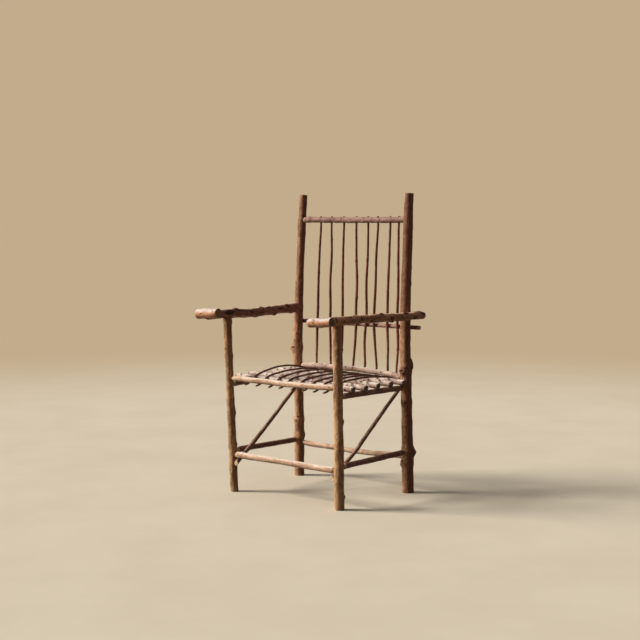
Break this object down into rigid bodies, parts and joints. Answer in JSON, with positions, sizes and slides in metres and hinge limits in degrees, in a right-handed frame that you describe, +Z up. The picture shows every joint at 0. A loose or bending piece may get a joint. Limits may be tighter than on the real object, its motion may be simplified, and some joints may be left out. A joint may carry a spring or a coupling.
{
  "type": "twig armchair",
  "caption": "Rustic armchair of round bark-covered sticks, with a seat of thin rods sprung over short logs, a back of thin spindles and round hand grips across the arms.",
  "frame": {"origin": "on the floor, under the middle of the chair's bounding box", "axes": "+X to the right seen from the front, +Y from the front to the back, +Z up"},
  "size_m": [0.6146, 0.5809, 1.1],
  "materials": {
    "post_bark": "dry bark, rough, with sawn ends",
    "rail_bark": "pale thin bark, satin",
    "log_bark": "pale greyish bark with dark knots, rough",
    "twig_bark": "dark reddish young bark, satin",
    "arm_bark": "dark maroon bark rubbed on top, satin",
    "grip_wood": "pale bark worn smooth, satin"
  },
  "bodies": {
    "root": {"front_post_left": "post_bark", "front_post_right": "post_bark", "back_post_left": "post_bark", "back_post_right": "post_bark", "arm_left": "arm_bark", "arm_right": "arm_bark", "hand_grip_left": "grip_wood", "hand_grip_right": "grip_wood", "front_seat_rail": "rail_bark", "rear_seat_rail": "rail_bark", "side_seat_rail_left": "rail_bark", "side_seat_rail_right": "rail_bark", "front_stretcher": "rail_bark", "rear_stretcher": "rail_bark", "side_stretcher_left": "rail_bark", "side_stretcher_right": "rail_bark", "top_rail": "rail_bark", "mid_back_rail": "rail_bark", "diagonal_brace_left": "rail_bark", "diagonal_brace_right": "rail_bark", "seat_log_1": "log_bark", "seat_log_2": "log_bark", "seat_log_3": "log_bark", "seat_log_4": "log_bark", "seat_log_5": "log_bark", "seat_rod_1": "twig_bark", "seat_rod_2": "twig_bark", "seat_rod_3": "twig_bark", "seat_rod_4": "twig_bark", "seat_rod_5": "twig_bark", "seat_rod_6": "twig_bark", "seat_rod_7": "twig_bark", "seat_rod_8": "twig_bark", "back_spindle_1": "twig_bark", "back_spindle_2": "twig_bark", "back_spindle_3": "twig_bark", "back_spindle_4": "twig_bark", "back_spindle_5": "twig_bark", "back_spindle_6": "twig_bark", "back_spindle_7": "twig_bark", "back_spindle_8": "twig_bark"}
  },
  "joints": []
}
